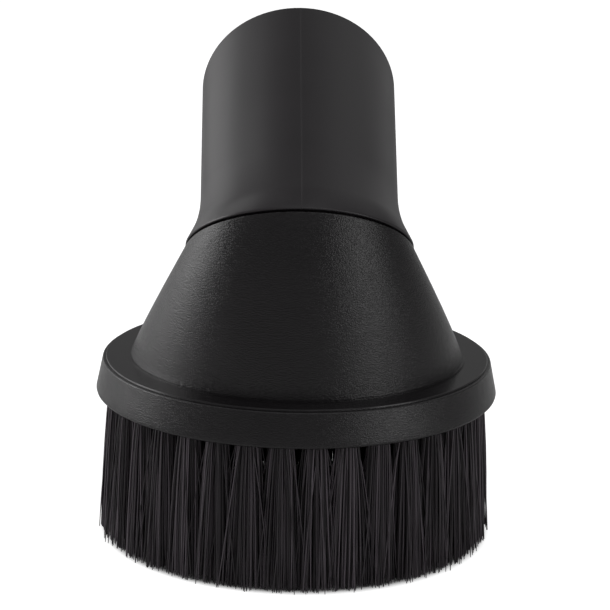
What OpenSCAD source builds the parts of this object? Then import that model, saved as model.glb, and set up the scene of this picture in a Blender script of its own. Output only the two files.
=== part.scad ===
// Round dusting brush for a vacuum cleaner, with a swivelling hose socket.
// Millimetres. X runs to the right, Y away from the viewer, Z up.
// The tips of the bristles stand on Z = 0.
// A round hood carries the brush ring below and the leaning neck above. The seam
// between hood and neck is a tilted circle, and the neck turns about its normal.

/* [Bristles] */

// Length of the bristles below the ring
bristle_len = 28; // [20:1:40]
// Number of tufts round the ring
tuft_count = 36; // [24:2:38]
// Diameter of a tuft at its root
tuft_d = 4.1; // [3:0.1:4.6]
// Depth of the blind hole that holds a tuft
tuft_hole_depth = 5.2; // [4:0.1:6]
// Width of a tuft at its tips as a share of its root
tuft_spread = 1.48; // [1:0.02:1.5]
// Distance by which the tips stand outside the roots
tuft_lean = 0.9; // [0:0.1:1.2]
// Number of ridges in the outline of a tuft
tuft_ridges = 9; // [5:1:14]
// Depth of the grooves between the ridges
tuft_groove = 0.3; // [0.1:0.05:0.5]

/* [Tuft staples] */

// Width of the flat wire staple that anchors a tuft
staple_w = 4.9; // [4.7:0.1:5]
// Height of a staple
staple_h = 1.8; // [1:0.1:2.4]
// Thickness of the staple wire
staple_t = 0.4; // [0.3:0.05:0.8]
// Thickness of the folded bristles above a staple
staple_cover = 0.6; // [0.3:0.1:1]

/* [Brush ring] */

// Radius of the ring at its lower edge
ring_r = 39.1; // [38.5:0.1:44]
// Amount by which the outer face draws in toward the top
ring_draft = 1.2; // [0.5:0.1:1.6]
// Height of the ring
ring_h = 7; // [6.6:0.1:10]
// Width of the ring's lower face
ring_w = 8.2; // [7.6:0.1:9]
// Wall between the tufts and the lower outer edge
tuft_inset = 2.45; // [1.8:0.05:2.6]
// Radius of the lower outer edge
ring_edge_r = 0.6; // [0.4:0.1:1.2]
// Radius of the upper outer edge
ring_crest_r = 0.3; // [0.2:0.05:0.5]
// Width of the step between the upper outer edge and the top face
step_w = 0.7; // [0.5:0.1:1.2]
// Height of the top face above the step
step_h = 0.4; // [0.2:0.05:0.8]
// Radius of the top face's edge
plate_edge_r = 0.15; // [0.1:0.05:0.2]

/* [Hood] */

// Width of the ring's top face left open outside the hood
ledge_w = 4.4; // [3.6:0.1:5.4]
// Width of the fine lip round the foot of the hood
foot_w = 0.3; // [0.2:0.1:1]
// Height of the lip round the foot
foot_h = 0.3; // [0.2:0.1:1]
// Wall of the short skirt inside the ring
skirt_wall = 1.4; // [1:0.1:2.4]
// Depth to which the skirt reaches into the ring
skirt_depth = 3.2; // [3.1:0.1:5]
// Play between the skirt and the bore of the ring
skirt_clear = 0.1; // [0.05:0.05:0.3]
// Depth of the chamber's upper end below the seam
chamber_top = 4.4; // [4:0.1:5]
// Depth of the chamber's lower end below the top of the ring
chamber_drop = 2; // [1.4:0.1:3]
// Distance by which the side stands out of a straight line from seam to foot
side_crown = 0.55; // [0:0.05:1]
// Radius of the hood's edge at the seam
rim_edge_r = 0.4; // [0.2:0.1:0.8]

/* [Swivel] */

// Lean of the swivel axis from the vertical
swivel_lean = 33.6; // [26:0.2:36]
// Height of the seam's centre above the ring
seam_rise = 22.7; // [20:0.1:32]
// Distance of the seam's centre in front of the ring's axis
seam_fore = 9; // [3:0.5:10]
// Radius of the seam between hood and neck
seam_r = 21.6; // [21.3:0.1:23]
// Width of the open groove round the seam
seam_gap = 0.4; // [0.2:0.05:0.8]
// Width of the groove's floor, outside the face the neck turns on
seam_depth = 1.8; // [1:0.1:2.2]
// Width of the face the neck turns on
land_w = 2.4; // [2:0.1:3]
// Wall of the spigot that turns in the hood
spigot_wall = 1.6; // [1.2:0.1:2.2]
// Play between the spigot and its collar
swivel_clear = 0.3; // [0.25:0.05:0.4]
// Depth of the collar below the seam
collar_depth = 5; // [4.8:0.1:5.6]
// Wall of the collar
collar_wall = 1.7; // [1.4:0.1:2]
// Play between the collar and the snap bead
bead_clear = 0.2; // [0.1:0.05:0.5]
// Height of the snap bead
bead_h = 1.4; // [1:0.1:1.8]
// Distance by which the snap bead stands out of the spigot
bead_out = 0.8; // [0.5:0.1:1]

/* [Neck] */

// Length from the seam's centre to the mouth
neck_len = 57; // [52:0.5:80]
// Wall at the mouth
mouth_wall = 2.6; // [2.2:0.1:3.4]
// Amount by which the outer radius shrinks from the mouth to the seam's centre
neck_taper = 1.2; // [0.8:0.1:1.8]
// Wall round the air way below the socket, at the seam's centre
tube_wall = 2.9; // [2.6:0.1:3.2]
// Height of the plain edge above the seam
neck_edge_h = 0.5; // [0.4:0.1:1]
// Radius of the neck's edge at the seam
neck_edge_r = 0.2; // [0.1:0.05:0.3]
// Width of the lip above the edge, at the front
lip_w = 2.4; // [1:0.1:3]
// Height of the lip, at the front
lip_h = 5; // [3:0.5:7]
// Length of the flare between the lip and the tube
flare_len = 14; // [10:0.5:18]
// Radius of the mouth's outer edge
mouth_edge_r = 0.5; // [0.3:0.1:1]
// Diameter of the hose tube that the socket takes
hose_d = 35; // [32:0.1:35.6]
// Depth of the socket
socket_depth = 32; // [24:0.5:34]
// Width of the chamfer inside the mouth
mouth_chamfer = 0.8; // [0.4:0.1:1.2]

/* [Hidden] */

// Sections round the lofted shapes, rows along them, and segments of a rounded edge
loft_n = 96;
lip_rows = 4;
flare_rows = 6;
side_rows = 6;
edge_rows = 3;
// Overlap that lets a cut run past a face
eps = 0.1;
// Height of the face the neck turns on, most of it sunk in the roof
land_h = 1.1;
// Smoothness of the round bodies
body_fn = 96;
hole_fn = 24;
// Step from the skirt and the collar's bore to the ends of the chamber
chamber_step = 0.3;
// Amount by which the ball of the elbow is wider than its narrower bore
elbow_step = 0.2;
// Size of the lip at the back, as a share of its size at the front
lip_back = 0.1;

// Heights of the ring's two faces
ring_z = bristle_len;
ring_top_z = bristle_len + ring_h;
ring_bore_r = ring_r - ring_w;
tuft_circle_r = ring_r - tuft_inset - tuft_d / 2;
staple_top_z = ring_z + tuft_hole_depth - staple_cover;

crest_r = ring_r - ring_draft;
crest_z = ring_top_z - step_h;
plate_r = crest_r - step_w;
hood_r = plate_r - ledge_w - foot_w;
skirt_r = ring_bore_r - skirt_clear;
hood_bore_r = skirt_r - skirt_wall;

// Centre of the seam, and the lean of the neck. Twice the swivel's lean lets half
// a turn bring the neck upright.
seam_y = -seam_fore;
seam_z = ring_top_z + seam_rise;
neck_lean = 2 * swivel_lean;
land_r = seam_r - seam_depth;
collar_bore_r = land_r - land_w;
collar_r = collar_bore_r + collar_wall;
spigot_r = collar_bore_r - swivel_clear;
spigot_len = collar_depth + bead_clear + bead_h;
spigot_bore_r = spigot_r - spigot_wall;
bead_r = spigot_r + bead_out;

neck_mouth_r = hose_d / 2 + mouth_wall;
neck_root_r = neck_mouth_r - neck_taper;
tube_bore_r = neck_root_r - tube_wall;

black = "#1b1b1d";
soft_black = "#242427";
bristle_black = "#151516";
steel = "#a9abae";

function tuft_name(i) = str("tuft_", i < 10 ? "0" : "", i);

// Points and directions in the plane X = 0, leaning back by a given angle

function along(lean) = [0, sin(lean), cos(lean)];
function across(lean) = [0, cos(lean), -sin(lean)];
function radial(lean, angle) = cos(angle) * [1, 0, 0] + sin(angle) * across(lean);
function angles(n) = [for (k = [0 : n - 1]) 360 * k / n];

seam_centre = [0, seam_y, seam_z];

// Radius of the neck's tube at a distance along its axis
function neck_r(s) = neck_root_r + (neck_mouth_r - neck_root_r) * s / neck_len;

// A point on a circle below the seam's plane, and a curve from p to q drawn toward c
function rim_point(r, depth, angle) =
    seam_centre - depth * along(swivel_lean) + r * radial(swivel_lean, angle);
function bend(p, c, q, t) = (1 - t) * (1 - t) * p + 2 * t * (1 - t) * c + t * t * q;

// A point on the plain tube
function tube_point(s, angle) =
    seam_centre + s * along(neck_lean) + neck_r(s) * radial(neck_lean, angle);

// A point on the edge above the seam
function edge_point(angle) = rim_point(seam_r, -neck_edge_h, angle);

// The lip is low at the back, where the tube leaves close to the seam
function lip_share(angle) = lip_back + (1 - lip_back) * (1 - sin(angle)) / 2;
function lip_point(angle) =
    let (share = lip_share(angle))
    seam_centre
        + (neck_edge_h + share * lip_h) * along(swivel_lean)
        + (seam_r - share * lip_w) * radial(swivel_lean, angle);

// The flare runs from the lip into the tube, which leans away from it. Each line
// keeps to its own angle, and its distance from the tube dies out as a square.
function flare_s(angle) = (lip_point(angle) - seam_centre) * along(neck_lean);
function flare_gap(angle) = lip_point(angle) - tube_point(flare_s(angle), angle);
function flare_point(t, angle) =
    tube_point(flare_s(angle) + t * flare_len, angle)
        + flare_gap(angle) * pow(1 - t, 2);

// The lip is a hollow curve that ends in the direction of the flare
function lip_curve(t, angle) =
    let (direction = along(neck_lean) - 2 * flare_gap(angle) / flare_len)
    bend(
        edge_point(angle),
        lip_point(angle) - lip_share(angle) * lip_h / 2 * direction,
        lip_point(angle),
        t
    );

neck_rings = concat(
    [for (j = [0 : edge_rows])
        let (turn = 90 * j / edge_rows)
        [for (a = angles(loft_n))
            rim_point(
                seam_r - neck_edge_r * (1 - sin(turn)),
                -neck_edge_r * (1 - cos(turn)),
                a
            )]],
    [for (j = [0 : lip_rows]) [for (a = angles(loft_n)) lip_curve(j / lip_rows, a)]],
    [for (j = [1 : flare_rows]) [for (a = angles(loft_n)) flare_point(j / flare_rows, a)]],
    [for (j = [0 : edge_rows])
        let (turn = 90 * j / edge_rows,
             s = neck_len - mouth_edge_r * (1 - sin(turn)),
             inset = mouth_edge_r * (1 - cos(turn)))
        [for (a = angles(loft_n)) tube_point(s, a) - inset * radial(neck_lean, a)]]
);

// The hood's side starts at a rounded rim and swells a little on its way to the foot
function foot_point(r, angle) = [r * cos(angle), r * sin(angle), ring_top_z];
function side_point(t, angle) =
    (1 - t) * rim_point(seam_r, seam_gap, angle)
        + t * foot_point(hood_r, angle)
        + 4 * t * (1 - t) * side_crown * radial(0, angle);
function side_start(angle) =
    rim_edge_r / norm(foot_point(hood_r, angle) - rim_point(seam_r, seam_gap, angle));
function rim_curve(t, angle) =
    bend(
        rim_point(seam_r - rim_edge_r, seam_gap, angle),
        rim_point(seam_r, seam_gap, angle),
        side_point(side_start(angle), angle),
        t
    );

hood_rings = concat(
    [for (j = [0 : side_rows - 1])
        [for (a = angles(loft_n))
            side_point(1 - (1 - side_start(a)) * j / side_rows, a)]],
    [for (j = [0 : edge_rows]) [for (a = angles(loft_n)) rim_curve(1 - j / edge_rows, a)]]
);

// The chamber starts inside the skirt and ends within the wall of the collar
chamber_rings = [
    [for (a = angles(loft_n))
        foot_point(hood_bore_r - chamber_step, a) - [0, 0, chamber_drop]],
    [for (a = angles(loft_n)) rim_point(collar_bore_r + chamber_step, chamber_top, a)]
];

// Outline of a tuft, ridged like a bundle of bristles
function tuft_outline(r) =
    [for (k = [0 : 2 * tuft_ridges - 1])
        let (a = 180 * k / tuft_ridges, d = r - (k % 2) * tuft_groove)
        [d * cos(a), d * sin(a)]];

// The frame's origin lies under the middle of the whole brush
back_y = max([for (ring = neck_rings) for (p = ring) p[1]]);
frame_y = (back_y - ring_r) / 2;

// A solid through rings of points that run from below to above, each ring
// anticlockwise as seen from above
module skin(rings) {
    n = len(rings[0]);
    last = len(rings) - 1;
    bottom = [for (k = [0 : n - 1]) k];
    top = [for (k = [n - 1 : -1 : 0]) last * n + k];
    sides = [for (i = [0 : last - 1]) for (k = [0 : n - 1])
        let (a = i * n + k, b = i * n + (k + 1) % n)
        each [[a, a + n, b + n], [a, b + n, b]]];
    polyhedron(
        points = [for (ring = rings) each ring],
        faces = concat([bottom], sides, [top])
    );
}

module in_frame() {
    translate([0, -frame_y, 0])
        children();
}

// Places things drawn along Z on an axis through the seam's centre
module at_seam(lean) {
    translate(seam_centre)
        rotate([-lean, 0, 0])
            children();
}

module at_tuft(i) {
    rotate([0, 0, 360 * (i - 0.5) / tuft_count])
        translate([tuft_circle_r, 0, 0])
            children();
}

module staple_blank() {
    translate([0, 0, staple_top_z - staple_h / 2])
        cube([staple_t, staple_w, staple_h], center = true);
}

module neck_tube() {
    skin(neck_rings);
}

module neck_spigot() {
    at_seam(swivel_lean)
        translate([0, 0, -spigot_len]) {
            cylinder(h = spigot_len + neck_edge_h, r = spigot_r, $fn = body_fn);
            cylinder(h = bead_h, r1 = spigot_r - eps, r2 = bead_r, $fn = body_fn);
        }
}

// The air way turns in a ball, so that it has no sharp elbow
module neck_passage() {
    at_seam(swivel_lean)
        sphere(r = min(spigot_bore_r, tube_bore_r) + elbow_step, $fn = body_fn);
    at_seam(swivel_lean)
        translate([0, 0, -spigot_len - eps])
            cylinder(h = spigot_len + eps, r = spigot_bore_r, $fn = body_fn);
    at_seam(neck_lean)
        cylinder(h = neck_len - eps, r = tube_bore_r, $fn = body_fn);
}

module hose_socket() {
    at_seam(neck_lean) {
        translate([0, 0, neck_len - socket_depth])
            cylinder(h = socket_depth + eps, d = hose_d, $fn = body_fn);
        translate([0, 0, neck_len - mouth_chamfer])
            cylinder(
                h = mouth_chamfer + eps,
                r1 = hose_d / 2,
                r2 = hose_d / 2 + mouth_chamfer + eps,
                $fn = body_fn
            );
    }
}

module neck() {
    color(soft_black)
        in_frame()
            difference() {
                union() {
                    neck_tube();
                    neck_spigot();
                }
                neck_passage();
                hose_socket();
            }
}

module hood_foot() {
    translate([0, 0, ring_top_z])
        cylinder(h = foot_h, r = hood_r + foot_w, $fn = body_fn);
    translate([0, 0, ring_top_z - skirt_depth])
        cylinder(h = skirt_depth + foot_h, r = skirt_r, $fn = body_fn);
}

module hood_chamber() {
    skin(chamber_rings);
    translate([0, 0, ring_top_z - skirt_depth - eps])
        cylinder(
            h = skirt_depth - chamber_drop + 2 * eps,
            r = hood_bore_r,
            $fn = body_fn
        );
}

module hood_collar() {
    at_seam(swivel_lean) {
        translate([0, 0, -collar_depth])
            cylinder(h = collar_depth - land_h, r = collar_r, $fn = body_fn);
        translate([0, 0, -land_h])
            cylinder(h = land_h, r = land_r, $fn = body_fn);
    }
}

// The bore that the spigot turns in, and the room for its snap bead below the collar
module hood_socket() {
    bead_room = spigot_len + swivel_clear - collar_depth;
    at_seam(swivel_lean) {
        translate([0, 0, -collar_depth - eps])
            cylinder(h = collar_depth + 2 * eps, r = collar_bore_r, $fn = body_fn);
        translate([0, 0, -collar_depth - bead_room])
            cylinder(h = bead_room, r = bead_r + swivel_clear, $fn = body_fn);
    }
}

module hood() {
    color(black)
        in_frame()
            difference() {
                union() {
                    difference() {
                        union() {
                            skin(hood_rings);
                            hood_foot();
                        }
                        hood_chamber();
                    }
                    hood_collar();
                }
                hood_socket();
            }
}

// A quarter turn clockwise round a centre, from a given angle
function quarter(centre, r, from) =
    [for (j = [0 : edge_rows])
        let (a = from - 90 * j / edge_rows)
        centre + r * [cos(a), sin(a)]];

// Half section of the ring, from its bore over the top face and the step to its foot
function ring_section() =
    concat(
        [[ring_bore_r, ring_z], [ring_bore_r, ring_top_z]],
        quarter([plate_r - plate_edge_r, ring_top_z - plate_edge_r], plate_edge_r, 90),
        [[plate_r, crest_z]],
        quarter([crest_r - ring_crest_r, crest_z - ring_crest_r], ring_crest_r, 90),
        quarter([ring_r - ring_edge_r, ring_z + ring_edge_r], ring_edge_r, 0)
    );

module brush_ring() {
    color(black)
        in_frame()
            difference() {
                rotate_extrude($fn = body_fn)
                    polygon(ring_section());
                for (i = [1 : tuft_count])
                    at_tuft(i) {
                        translate([0, 0, ring_z - eps])
                            cylinder(h = tuft_hole_depth + eps, d = tuft_d, $fn = hole_fn);
                        staple_blank();
                    }
            }
}

// The root of a tuft fills its hole, and the bristles widen and lean out below it
module tuft(i) {
    tip_r = tuft_spread * tuft_d / 2;
    color(bristle_black)
        in_frame()
            at_tuft(i) {
                difference() {
                    translate([0, 0, ring_z])
                        cylinder(h = tuft_hole_depth, d = tuft_d, $fn = hole_fn);
                    staple_blank();
                }
                skin([
                    [for (p = tuft_outline(tip_r)) [p[0] + tuft_lean, p[1], 0]],
                    [for (p = tuft_outline(tuft_d / 2)) [p[0], p[1], ring_z]]
                ]);
            }
}

module tuft_staples() {
    color(steel)
        in_frame()
            for (i = [1 : tuft_count])
                at_tuft(i)
                    staple_blank();
}

neck();
hood();
brush_ring();
for (i = [1 : tuft_count])
    tuft(i);
tuft_staples();
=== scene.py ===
import math

import bpy
from mathutils import Matrix, Vector


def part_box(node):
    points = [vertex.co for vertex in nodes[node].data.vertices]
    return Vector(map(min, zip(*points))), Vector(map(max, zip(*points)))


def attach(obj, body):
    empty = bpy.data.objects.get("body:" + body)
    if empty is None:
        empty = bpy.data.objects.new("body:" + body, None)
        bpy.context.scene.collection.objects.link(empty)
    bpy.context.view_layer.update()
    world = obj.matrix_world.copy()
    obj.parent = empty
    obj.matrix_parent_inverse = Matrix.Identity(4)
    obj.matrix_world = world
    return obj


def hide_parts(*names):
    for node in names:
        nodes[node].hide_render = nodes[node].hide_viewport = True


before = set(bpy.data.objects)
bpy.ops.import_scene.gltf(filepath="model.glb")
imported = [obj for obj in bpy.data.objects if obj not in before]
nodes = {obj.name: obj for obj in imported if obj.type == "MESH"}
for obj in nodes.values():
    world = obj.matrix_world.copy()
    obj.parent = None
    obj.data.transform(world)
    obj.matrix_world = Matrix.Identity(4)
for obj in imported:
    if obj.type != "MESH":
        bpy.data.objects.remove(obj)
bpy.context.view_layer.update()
scene = bpy.context.scene
mm = 0.001

# Where the brush ring lies. The bristles, the floor and the camera are placed from it.
ringLow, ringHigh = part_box("brush_ring")
ringAxis = Vector((0, (ringLow.y + ringHigh.y) / 2, 0))
ringRadius = (ringHigh.x - ringLow.x) / 2
tuftNames = sorted(name for name in nodes if name.removeprefix("tuft_").isdigit())


def addObject(name, data):
    made = bpy.data.objects.new(name, data)
    scene.collection.objects.link(made)
    return made


# One socket of a node tree. Sums, products and the like add their own Math nodes.
class Flow:
    def __init__(self, graph, socket):
        self.graph = graph
        self.socket = socket

    # Another output of the same node
    def at(self, name):
        return Flow(self.graph, self.socket.node.outputs[name])

    # The numbers of a vector, each then taken by at("X"), at("Y") or at("Z")
    def parts(self):
        return self.graph.add("ShaderNodeSeparateXYZ", {}, {0: self})

    def math(self, operation, *values):
        return self.graph.add(
            "ShaderNodeMath", {"operation": operation}, dict(enumerate(values))
        )

    def vector(self, operation, sockets, out=0):
        return self.graph.add(
            "ShaderNodeVectorMath", {"operation": operation}, {0: self, **sockets}, out=out
        )

    def __add__(self, other):
        return self.math("ADD", self, other)

    def __sub__(self, other):
        return self.math("SUBTRACT", self, other)

    def __rsub__(self, other):
        return self.math("SUBTRACT", other, self)

    def __mul__(self, other):
        return self.math("MULTIPLY", self, other)

    def __truediv__(self, other):
        return self.math("DIVIDE", self, other)

    def __rtruediv__(self, other):
        return self.math("DIVIDE", other, self)

    def __pow__(self, other):
        return self.math("POWER", self, other)

    __radd__ = __add__
    __rmul__ = __mul__

    def abs(self):
        return self.math("ABSOLUTE", self)

    def least(self, other):
        return self.math("MINIMUM", self, other)

    def most(self, other):
        return self.math("MAXIMUM", self, other)

    def sine(self):
        return self.math("SINE", self)

    def cosine(self):
        return self.math("COSINE", self)

    def root(self):
        return self.math("SQRT", self)

    def above(self, other):
        return self.math("GREATER_THAN", self, other)

    # 0 up to low, 1 from high on, and a soft step between them
    def rise(self, low, high):
        return self.graph.add(
            "ShaderNodeMapRange", {"interpolation_type": "SMOOTHSTEP"},
            {"Value": self, "From Min": low, "From Max": high},
        )


# A node tree. A node's settings are set first, then the values or links of its sockets.
class Graph:
    def __init__(self, tree):
        self.tree = tree

    def add(self, kind, settings=None, sockets=None, out=0):
        made = self.tree.nodes.new(kind)
        for name, value in (settings or {}).items():
            setattr(made, name, value)
        for key, value in (sockets or {}).items():
            if isinstance(value, Flow):
                self.tree.links.new(value.socket, made.inputs[key])
            else:
                made.inputs[key].default_value = value
        return Flow(self, made.outputs[out]) if len(made.outputs) else made

    def mixColour(self, share, first, second):
        return self.add(
            "ShaderNodeMix", {"data_type": "RGBA"}, {0: share, 6: first, 7: second}, out=2
        )

    def joined(self, x, y, z):
        return self.add("ShaderNodeCombineXYZ", {}, {0: x, 1: y, 2: z})


def grey(level):
    return (level, level, level, 1)


# A black that leans a trace to violet
def black(level):
    return (level * 1.04, level * 0.88, level * 1.02, 1)


def newMaterial(name):
    material = bpy.data.materials.new(name)
    material.use_nodes = True
    material.node_tree.nodes.clear()
    return material, Graph(material.node_tree)


def finishMaterial(graph, sockets):
    surface = graph.add("ShaderNodeBsdfPrincipled", {}, sockets)
    graph.add("ShaderNodeOutputMaterial", {}, {"Surface": surface})


def objectPlace(graph):
    return graph.add("ShaderNodeTexCoord", {}, {}, out="Object")


def noise(graph, place, scale, detail):
    return graph.add(
        "ShaderNodeTexNoise", {}, {"Vector": place, "Scale": scale, "Detail": detail}
    )


def bumped(graph, height, distance):
    return graph.add("ShaderNodeBump", {}, {"Height": height, "Distance": distance})


# The tone and the roughness of a black plastic drift a little, in soft clouds
def clouded(graph, place, sizes):
    cloud = noise(graph, place, sizes["cloudScale"], 3)
    level, change = sizes["colour"], sizes["colourChange"] / 2
    tone = graph.mixColour(
        cloud.rise(0.3, 0.7), black(level * (1 - change)), black(level * (1 + change))
    )
    return tone, sizes["roughness"] + (cloud - 0.5) * sizes["roughnessChange"] * 2


# Hood and brush ring: black plastic with a fine spark grain. On the ring's top it fades
# between the two depths of smoothBelow.
grainedPlastic = {
    "colour": 0.0075,
    "colourChange": 0.3,
    "roughness": 0.2,
    "roughnessChange": 0.04,
    "cloudScale": 60,
    "grainScale": 4600,
    "grainDepth": 0.085 * mm,
    "smoothRoughness": 0.17,
    "smoothing": 0.9,
    "smoothBelow": (0.3 * mm, 0.15 * mm),
}


def makeGrainedPlastic(name, smoothTop=None):
    sizes = grainedPlastic
    material, graph = newMaterial(name)
    place = objectPlace(graph)
    tone, rough = clouded(graph, place, sizes)
    height = noise(graph, place, sizes["grainScale"], 1)
    if smoothTop:
        low, high = sizes["smoothBelow"]
        smooth = place.parts().at("Z").rise(smoothTop - low, smoothTop - high)
        height = height * (1 - smooth * sizes["smoothing"])
        rough = rough + smooth * (sizes["smoothRoughness"] - sizes["roughness"])
    bump = bumped(graph, height, sizes["grainDepth"])
    finishMaterial(graph, {"Base Color": tone, "Roughness": rough, "Normal": bump})
    return material


# Neck: satin plastic with a faint parting line down its middle
satinPlastic = {
    "colour": 0.016,
    "colourChange": 0.24,
    "roughness": 0.36,
    "roughnessChange": 0.05,
    "cloudScale": 45,
    "lineWidth": 0.14 * mm,
    "lineHeight": 0.03 * mm,
    "fineScale": 1500,
    "fineHeight": 0.004 * mm,
}


def makeSatinPlastic(name):
    sizes = satinPlastic
    material, graph = newMaterial(name)
    place = objectPlace(graph)
    tone, rough = clouded(graph, place, sizes)
    fine = noise(graph, place, sizes["fineScale"], 2)
    fromMiddle = place.parts().at("X").abs()
    line = 1 - fromMiddle.rise(0.2 * sizes["lineWidth"], sizes["lineWidth"])
    bump = bumped(graph, line * sizes["lineHeight"] + fine * sizes["fineHeight"], 1.0)
    finishMaterial(graph, {"Base Color": tone, "Roughness": rough, "Normal": bump})
    return material


# Staples: plain bright wire with fine streaks
stapleWire = {
    "darkest": 0.5,
    "lightest": 0.66,
    "roughness": 0.28,
    "roughnessChange": 0.14,
    "streakScale": 3000,
}


def makeStapleSteel(name):
    sizes = stapleWire
    material, graph = newMaterial(name)
    streaks = noise(graph, objectPlace(graph), sizes["streakScale"], 2)
    tone = graph.mixColour(streaks, grey(sizes["darkest"]), grey(sizes["lightest"]))
    rough = sizes["roughness"] + streaks * sizes["roughnessChange"]
    finishMaterial(graph, {"Base Color": tone, "Roughness": rough, "Metallic": 1.0})
    return material


# Bristles: each has its own shade, kept in the attribute bristleShade
bristleFilament = {
    "darkest": 0.02,
    "lightest": 0.13,
    "roughness": 0.38,
    "roughnessChange": 0.12,
}


def makeBristleFilament(name):
    sizes = bristleFilament
    material, graph = newMaterial(name)
    shade = graph.add(
        "ShaderNodeAttribute", {"attribute_name": "bristleShade"}, {}, out="Fac"
    )
    tone = graph.mixColour(shade, black(sizes["darkest"]), black(sizes["lightest"]))
    rough = sizes["roughness"] + (shade - 0.5) * sizes["roughnessChange"]
    finishMaterial(graph, {"Base Color": tone, "Roughness": rough})
    return material


hoodPlastic = makeGrainedPlastic("hoodPlastic")
ringPlastic = makeGrainedPlastic("ringPlastic", smoothTop=ringHigh.z)
neckPlastic = makeSatinPlastic("neckPlastic")
stapleSteel = makeStapleSteel("stapleSteel")
filament = makeBristleFilament("bristleFilament")
print("materials made")


# A packed moulding's facets are joined and shaded round where they meet below sharpAngle
skin = {
    "weld": 0.001 * mm,
    "sharpAngle": math.radians(31),
}


def makeSkinTree():
    tree = bpy.data.node_groups.new("smoothMoulding", "GeometryNodeTree")
    tree.interface.new_socket("Geometry", in_out="INPUT", socket_type="NodeSocketGeometry")
    tree.interface.new_socket("Geometry", in_out="OUTPUT", socket_type="NodeSocketGeometry")
    graph = Graph(tree)
    given = graph.add("NodeGroupInput", {}, {})
    joined = graph.add(
        "GeometryNodeMergeByDistance", {}, {"Geometry": given, "Distance": skin["weld"]}
    )
    bend = graph.add("GeometryNodeInputMeshEdgeAngle", {}, {}, out="Unsigned Angle")
    shaded = graph.add(
        "GeometryNodeSetMeshNormal", {"mode": "SHARPNESS"},
        {"Mesh": joined, "Remove Custom": True,
         "Edge Sharpness": bend.above(skin["sharpAngle"]), "Face Sharpness": False},
    )
    graph.add("NodeGroupOutput", {}, {0: shaded})
    return tree


def dress(name, material, tree=None):
    piece = nodes[name]
    piece.data.materials.clear()
    piece.data.materials.append(material)
    if tree:
        smoothed = piece.modifiers.new("smoothMoulding", "NODES")
        smoothed.node_group = tree
        evened = piece.modifiers.new("evenNormals", "WEIGHTED_NORMAL")
        evened.keep_sharp = True


skinTree = makeSkinTree()
dress("neck", neckPlastic, skinTree)
dress("hood", hoodPlastic, skinTree)
dress("brush_ring", ringPlastic, skinTree)
dress("tuft_staples", stapleSteel)
print("mouldings dressed")


# Bristles of one tuft. Roots fill the hole in the ring, and tips spread along the ring,
# lean out and gather in clumps. A few bristles stray across their neighbours.
# inset runs from the ring's rim to the tuft's middle, and widest is the circle round the
# whole brush that no tip leaves.
bristleTuft = {
    "count": 190,
    "thickness": 0.24 * mm,
    "rootRadius": 2.0 * mm,
    "rootJitter": 0.35,
    "sunk": 1.2 * mm,
    "tipWidth": 3.8 * mm,
    "tipDepth": 2.7 * mm,
    "tipGap": 0.05 * mm,
    "tipTaper": 0.35,
    "lean": 1.15 * mm,
    "fanning": 0.8,
    "ragged": 0.75 * mm,
    "stray": 0.42 * mm,
    "strayShare": 0.1,
    "strayTimes": 10,
    "clump": 1.6 * mm,
    "clumpScale": 620,
    "bow": 0.3 * mm,
    "inset": 4.5 * mm,
    "widest": 39.0 * mm,
    "shadeContrast": 2.6,
    "rings": 6,
    "sides": 5,
}


# Named inputs of the tuft's tree, kept by name with the identifiers that modifiers use
def nameTuftInputs(tree, sizes):
    inputs = {}
    for name, kind, value in (
        ("Bristles", "NodeSocketInt", sizes["count"]),
        ("Thickness", "NodeSocketFloat", sizes["thickness"]),
        ("Root Radius", "NodeSocketFloat", sizes["rootRadius"]),
        ("Root Height", "NodeSocketFloat", ringLow.z + sizes["sunk"]),
        ("Tip Width", "NodeSocketFloat", sizes["tipWidth"]),
        ("Tip Depth", "NodeSocketFloat", sizes["tipDepth"]),
        ("Lean", "NodeSocketFloat", sizes["lean"]),
        ("Ragged", "NodeSocketFloat", sizes["ragged"]),
        ("Stray", "NodeSocketFloat", sizes["stray"]),
        ("Clump", "NodeSocketFloat", sizes["clump"]),
        ("Bow", "NodeSocketFloat", sizes["bow"]),
        ("Stray Share", "NodeSocketFloat", sizes["strayShare"]),
        ("Reach", "NodeSocketFloat", ringRadius - sizes["inset"]),
        ("Widest", "NodeSocketFloat", sizes["widest"]),
        ("Seed", "NodeSocketInt", 0),
    ):
        socket = tree.interface.new_socket(name, in_out="INPUT", socket_type=kind)
        socket.default_value = value
        inputs[name] = socket.identifier
    tree.interface.new_socket("Geometry", in_out="OUTPUT", socket_type="NodeSocketGeometry")
    return inputs


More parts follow.
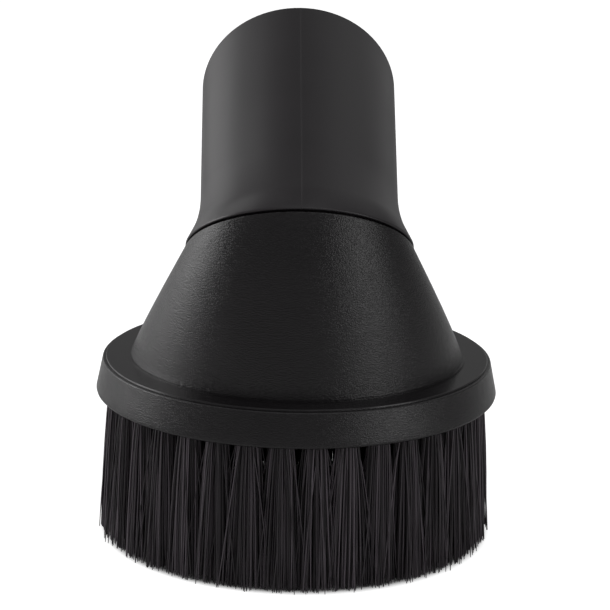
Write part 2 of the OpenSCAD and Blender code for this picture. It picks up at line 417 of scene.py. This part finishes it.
# A point at the root of each bristle, which keeps where its tip and its bow go
def placeBristles(graph, given, sizes):
    def chance(low, high, salt):
        return graph.add(
            "FunctionNodeRandomValue", {"data_type": "FLOAT"},
            {"Min": low, "Max": high, "ID": graph.add("GeometryNodeInputIndex"),
             "Seed": given.at("Seed") * 16 + salt},
            out=1,
        )

    index = graph.add("GeometryNodeInputIndex")
    jitter = chance(-sizes["rootJitter"], sizes["rootJitter"], 1)
    turn = index * 2.39996 + jitter  # the golden angle fills a circle evenly
    reach = ((index + 0.5) / given.at("Bristles")).root()
    outward, sideways = turn.cosine() * reach, turn.sine() * reach
    root = graph.joined(
        outward * given.at("Root Radius"), sideways * given.at("Root Radius"),
        given.at("Root Height"),
    )
    outward, sideways = outward * given.at("Tip Depth"), sideways * given.at("Tip Width")
    drift = graph.add(
        "ShaderNodeTexNoise", {"noise_dimensions": "4D"},
        {"Vector": graph.joined(outward, sideways, 0.0),
         "W": given.at("Seed") * 3.7,  # clumps differ from tuft to tuft
         "Scale": sizes["clumpScale"], "Detail": 1.0},
        out="Color",
    ).parts()
    wild = given.at("Stray Share").above(chance(0, 1, 2))
    stray = given.at("Stray") * (1 + wild * (sizes["strayTimes"] - 1))
    outward = (
        outward + given.at("Lean") + (drift.at("X") - 0.5) * given.at("Clump")
        + chance(-0.5, 0.5, 3) * stray
    )
    sideways = (
        sideways + (drift.at("Y") - 0.5) * given.at("Clump") + chance(-1, 1, 4) * stray
    )
    farthest = (given.at("Widest") ** 2 - sideways ** 2).root() - given.at("Reach")
    # Few bristles end much short of the others, and some clumps do as a whole
    short = chance(0, 1, 5) ** 3 + (drift.at("Z") - 0.35).most(0) * 2
    tip = graph.joined(
        outward.least(farthest), sideways, short * given.at("Ragged") + sizes["tipGap"]
    )
    bow = graph.joined(
        chance(-1, 1, 6) * given.at("Bow"), chance(-1, 1, 7) * given.at("Bow"), 0.0
    )
    spots = graph.add(
        "GeometryNodePoints", {}, {"Count": given.at("Bristles"), "Position": root}
    )
    for name, kind, value in (
        ("rootPlace", "FLOAT_VECTOR", root),
        ("tipPlace", "FLOAT_VECTOR", tip),
        ("bowPlace", "FLOAT_VECTOR", bow),
        ("bristleShade", "FLOAT", chance(0, 1, 8) ** sizes["shadeContrast"]),
    ):
        spots = graph.add(
            "GeometryNodeStoreNamedAttribute", {"data_type": kind, "domain": "POINT"},
            {"Geometry": spots, "Name": name, "Value": value},
        )
    return spots


# A strand from each root to its tip, with a round profile
def drawBristles(graph, given, sizes, spots):
    strand = graph.add(
        "GeometryNodeCurvePrimitiveLine", {"mode": "POINTS"},
        {"Start": (0, 0, 0), "End": (0, 0, -0.01)},
    )
    strand = graph.add(
        "GeometryNodeResampleCurve", {"mode": "COUNT"},
        {"Curve": strand, "Count": sizes["rings"]},
    )
    strands = graph.add(
        "GeometryNodeInstanceOnPoints", {}, {"Points": spots, "Instance": strand}
    )
    strands = graph.add("GeometryNodeRealizeInstances", {}, {"Geometry": strands})

    def kept(name):
        return graph.add(
            "GeometryNodeInputNamedAttribute", {"data_type": "FLOAT_VECTOR"}, {"Name": name}
        )

    def fromRootToTip(share):
        mixed = graph.add(
            "ShaderNodeMix", {"data_type": "VECTOR"},
            {0: share, 4: kept("rootPlace"), 5: kept("tipPlace")}, out=1,
        )
        return mixed.parts()

    # A bristle drops evenly, but fans out a little sooner near its root
    along = graph.add("GeometryNodeSplineParameter", {}, {}, out="Factor")
    spread = fromRootToTip(along ** sizes["fanning"])
    height = fromRootToTip(along).at("Z")
    swing = (along * math.pi).sine()
    bow = kept("bowPlace").vector("SCALE", {"Scale": swing})
    line = graph.joined(spread.at("X"), spread.at("Y"), height).vector("ADD", {1: bow})
    strands = graph.add(
        "GeometryNodeSetPosition", {}, {"Geometry": strands, "Position": line}
    )
    profile = graph.add(
        "GeometryNodeCurvePrimitiveCircle", {"mode": "RADIUS"},
        {"Resolution": sizes["sides"], "Radius": 1.0},
    )
    slimmer = along.rise(0.8, 1.0) * sizes["tipTaper"]
    width = given.at("Thickness") * 0.5 * (1 - slimmer)
    body = graph.add(
        "GeometryNodeCurveToMesh", {},
        {"Curve": strands, "Profile Curve": profile, "Scale": width, "Fill Caps": True},
    )
    return graph.add(
        "GeometryNodeSetShadeSmooth", {}, {"Geometry": body, "Shade Smooth": True}
    )


def makeTuftTree():
    sizes = bristleTuft
    tree = bpy.data.node_groups.new("bristleTuft", "GeometryNodeTree")
    inputs = nameTuftInputs(tree, sizes)
    graph = Graph(tree)
    given = graph.add("NodeGroupInput", {}, {})
    spots = placeBristles(graph, given, sizes)
    body = drawBristles(graph, given, sizes, spots)
    body = graph.add("GeometryNodeRealizeInstances", {}, {"Geometry": body})
    body = graph.add(
        "GeometryNodeSetMaterial", {}, {"Geometry": body, "Material": filament}
    )
    graph.add("NodeGroupOutput", {}, {0: body})
    return tree, inputs


# Grows the bristles of one tuft as a plain mesh and turns them to their place in the ring
def growTuft(number, name, tree, inputs):
    title = name.replace("tuft", "bristles")
    holder = addObject(title, bpy.data.meshes.new(title))
    growing = holder.modifiers.new("bristleTuft", "NODES")
    growing.node_group = tree
    growing[inputs["Seed"]] = number
    graph = bpy.context.evaluated_depsgraph_get()
    grown = bpy.data.meshes.new_from_object(holder.evaluated_get(graph), depsgraph=graph)
    holder.modifiers.clear()
    holder.data = grown
    angle = 2 * math.pi * (number - 0.5) / len(tuftNames)
    reach = ringRadius - bristleTuft["inset"]
    grown.transform(
        Matrix.Translation(ringAxis)
        @ Matrix.Rotation(angle, 4, "Z")
        @ Matrix.Translation((reach, 0, 0))
    )
    for extra in ("rootPlace", "tipPlace", "bowPlace"):
        if extra in grown.attributes:
            grown.attributes.remove(grown.attributes[extra])
    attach(holder, "head")
    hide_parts(name)
    return holder


tuftTree, tuftInputs = makeTuftTree()
tufts = [growTuft(i + 1, name, tuftTree, tuftInputs) for i, name in enumerate(tuftNames)]
faceCount = sum(len(tuft.data.polygons) for tuft in tufts)
print("bristles grown:", len(tufts), "tufts,", faceCount, "faces")


# Floor and studio. The floor glows for the camera alone, so it looks white, but not right
# under the brush: there it keeps the brush's real shadow, darkened further as painted
# shade.
studio = {
    "floorSize": 4.0,
    "floorColour": 0.7,
    "floorRoughness": 0.8,
    "floorGlow": 0.85,
    "glowEdge": 3 * mm,
    "worldLevel": 0.19,
}


def makeFloor():
    half = studio["floorSize"] / 2
    mesh = bpy.data.meshes.new("floor")
    corners = [(-half, -half, 0), (half, -half, 0), (half, half, 0), (-half, half, 0)]
    mesh.from_pydata(corners, [], [(0, 1, 2, 3)])
    floor = addObject("floor", mesh)
    material, graph = newMaterial("paleFloor")
    away = objectPlace(graph).vector("DISTANCE", {1: tuple(ringAxis)}, out="Value")
    # Painted shade: a disc under the brush where the glow fades out, so the floor there
    # stays dark
    clear = away.rise(ringRadius - studio["glowEdge"], ringRadius)
    seen = graph.add("ShaderNodeLightPath", {}, {}, out="Is Camera Ray")
    finishMaterial(graph, {
        "Base Color": grey(studio["floorColour"]),
        "Roughness": studio["floorRoughness"],
        "Emission Color": grey(1),
        "Emission Strength": seen * clear * studio["floorGlow"],
    })
    mesh.materials.append(material)


# The world is white to the camera, and a dim light on everything else
def makeWorld():
    world = bpy.data.worlds.new("studio")
    world.use_nodes = True
    world.node_tree.nodes.clear()
    scene.world = world
    graph = Graph(world.node_tree)
    seen = graph.add("ShaderNodeLightPath", {}, {}, out="Is Camera Ray")
    level = studio["worldLevel"] + seen * (1 - studio["worldLevel"])
    light = graph.add("ShaderNodeBackground", {}, {"Color": grey(1), "Strength": level})
    graph.add("ShaderNodeOutputWorld", {}, {"Surface": light})


# Square soft boxes round the brush, all of one size, at one distance from a point at the
# height aim. Each has a turn from the front toward +X, a rise above the floor, both in
# degrees, and the brightness of its face.
softBoxes = {
    "size": 0.42,
    "distance": 0.9,
    "aim": 0.05,
    "low": ((-145, 12, 0.6), (-120, 12, 1.5), (-98, 15, 3.8),
            (55, 10, 1.9), (155, 12, 0.18)),
    "middle": ((-150, 42, 0.1), (-120, 42, 1.1), (-55, 40, 0.2), (-15, 45, 0.36),
               (25, 45, 0.85), (60, 38, 0.36), (125, 42, 0.22), (155, 42, 0.12)),
    "high": ((-120, 68, 0.2), (-20, 70, 0.28), (45, 72, 0.32), (120, 68, 0.22)),
}


# A small lamp that rakes across the bristles and isn't mirrored in the mouldings
rakingLamp = {"turn": -57, "rise": 12, "brightness": 3.5, "size": 0.3}


def makeSoftBox(name, turn, rise, brightness, size):
    turn, rise = math.radians(turn), math.radians(rise)
    away = Vector((
        math.sin(turn) * math.cos(rise), -math.cos(turn) * math.cos(rise), math.sin(rise)
    ))
    lamp = bpy.data.lights.new(name, "AREA")
    lamp.shape = "SQUARE"
    lamp.size = size
    lamp.energy = brightness * size ** 2 * math.pi
    holder = addObject(name, lamp)
    holder.location = Vector((0, 0, softBoxes["aim"])) + away * softBoxes["distance"]
    holder.rotation_euler = away.to_track_quat("Z", "Y").to_euler()
    holder.visible_camera = False
    return holder


# Camera fitted to the picture. Its place is from the middle of the ring's lower face, and
# its angles are in radians.
view = {
    "place": (-6.8001 * mm, -411.8956 * mm, 124.3377 * mm),
    "pitch": 0.25549,
    "yaw": 0.0199,
    "roll": 0.01991,
    "lens": 129.092,
}


def makeCamera():
    camera = bpy.data.cameras.new("camera")
    camera.lens = view["lens"]
    camera.sensor_width = 36
    camera.clip_start, camera.clip_end = 0.01, 20
    holder = addObject("camera", camera)
    holder.location = Vector(view["place"]) + ringAxis + Vector((0, 0, ringLow.z))
    turned = (
        Matrix.Rotation(-view["yaw"], 3, "Z")
        @ Matrix.Rotation(math.pi / 2 - view["pitch"], 3, "X")
        @ Matrix.Rotation(view["roll"], 3, "Z")
    )
    holder.rotation_euler = turned.to_euler()
    scene.camera = holder


makeFloor()
makeWorld()
for ring in ("low", "middle", "high"):
    for i, facts in enumerate(softBoxes[ring]):
        makeSoftBox(ring + "Box_" + str(i + 1), *facts, softBoxes["size"])
raking = makeSoftBox("rakingLamp", **rakingLamp)
raking.visible_glossy = False
makeCamera()
scene.view_settings.view_transform = "Standard"
print("studio set")
